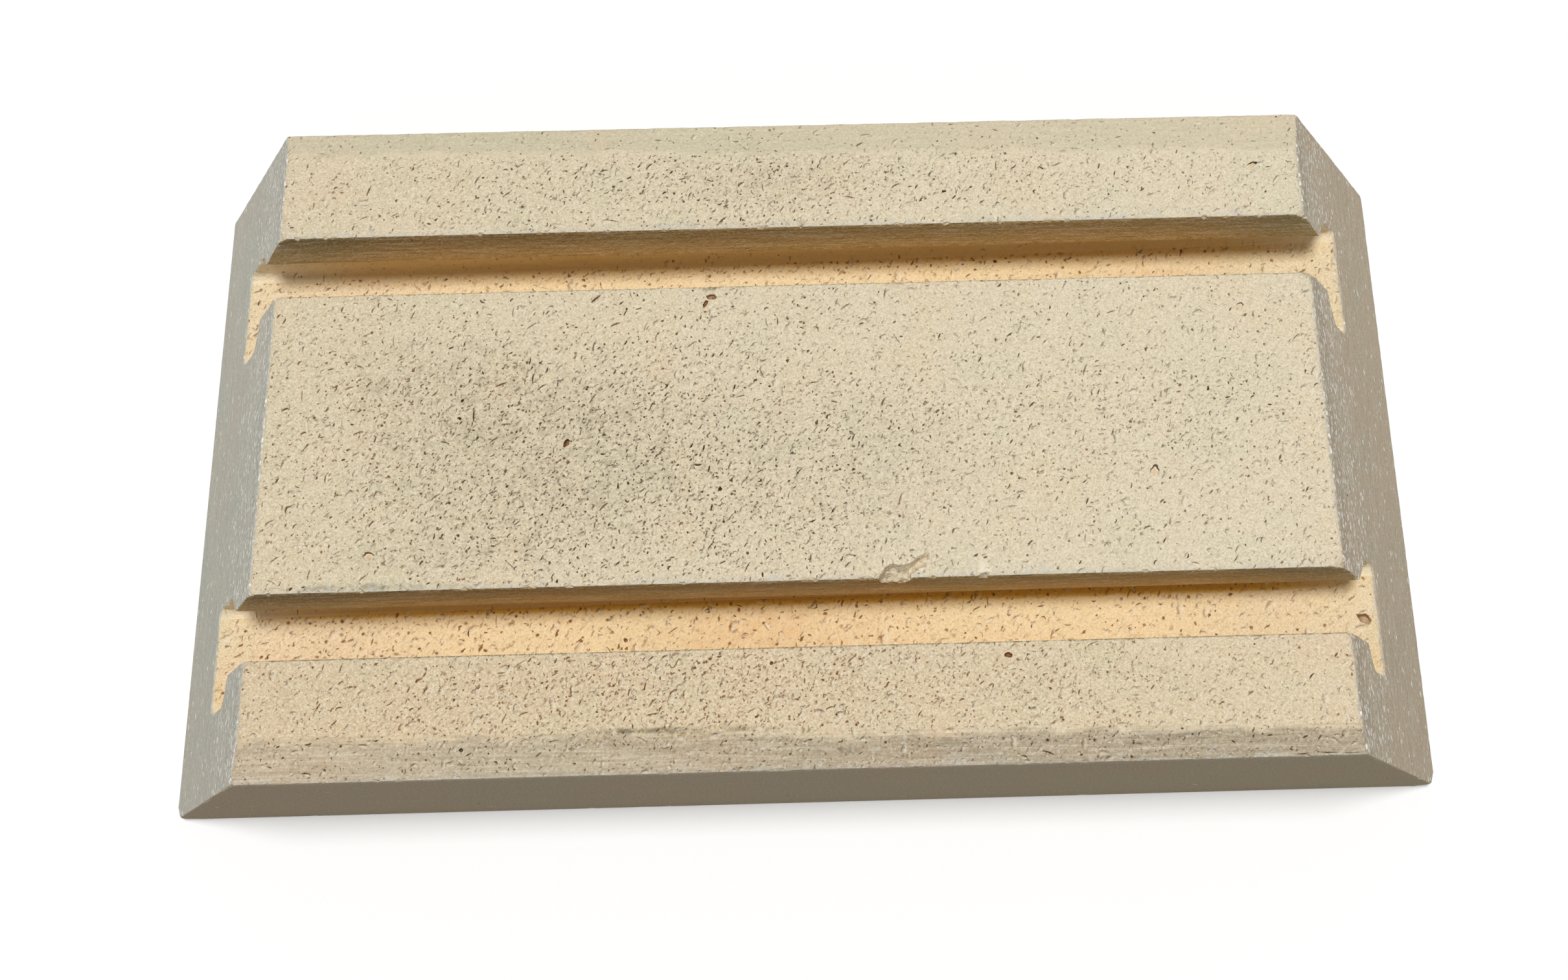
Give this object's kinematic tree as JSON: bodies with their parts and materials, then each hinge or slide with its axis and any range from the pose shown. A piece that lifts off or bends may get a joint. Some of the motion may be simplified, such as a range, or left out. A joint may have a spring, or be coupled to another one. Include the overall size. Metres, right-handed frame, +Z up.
{
  "type": "slotted insulating fire brick",
  "caption": "Porous kiln wall brick with mitred ends and undercut slots along its hot face that hold heating coils.",
  "frame": {"origin": "middle of the cold face, which is the bottom of the bounding box", "axes": "+X along the slots, +Y across them towards the back bed face, +Z up out of the hot face"},
  "size_m": [0.2194, 0.1142, 0.036],
  "materials": {
    "fired_clay": "unglazed porous fired clay, cream beige, with pores, grey-green freckles and sawn faces"
  },
  "bodies": {
    "root": {"fire_brick": "fired_clay"}
  },
  "joints": []
}
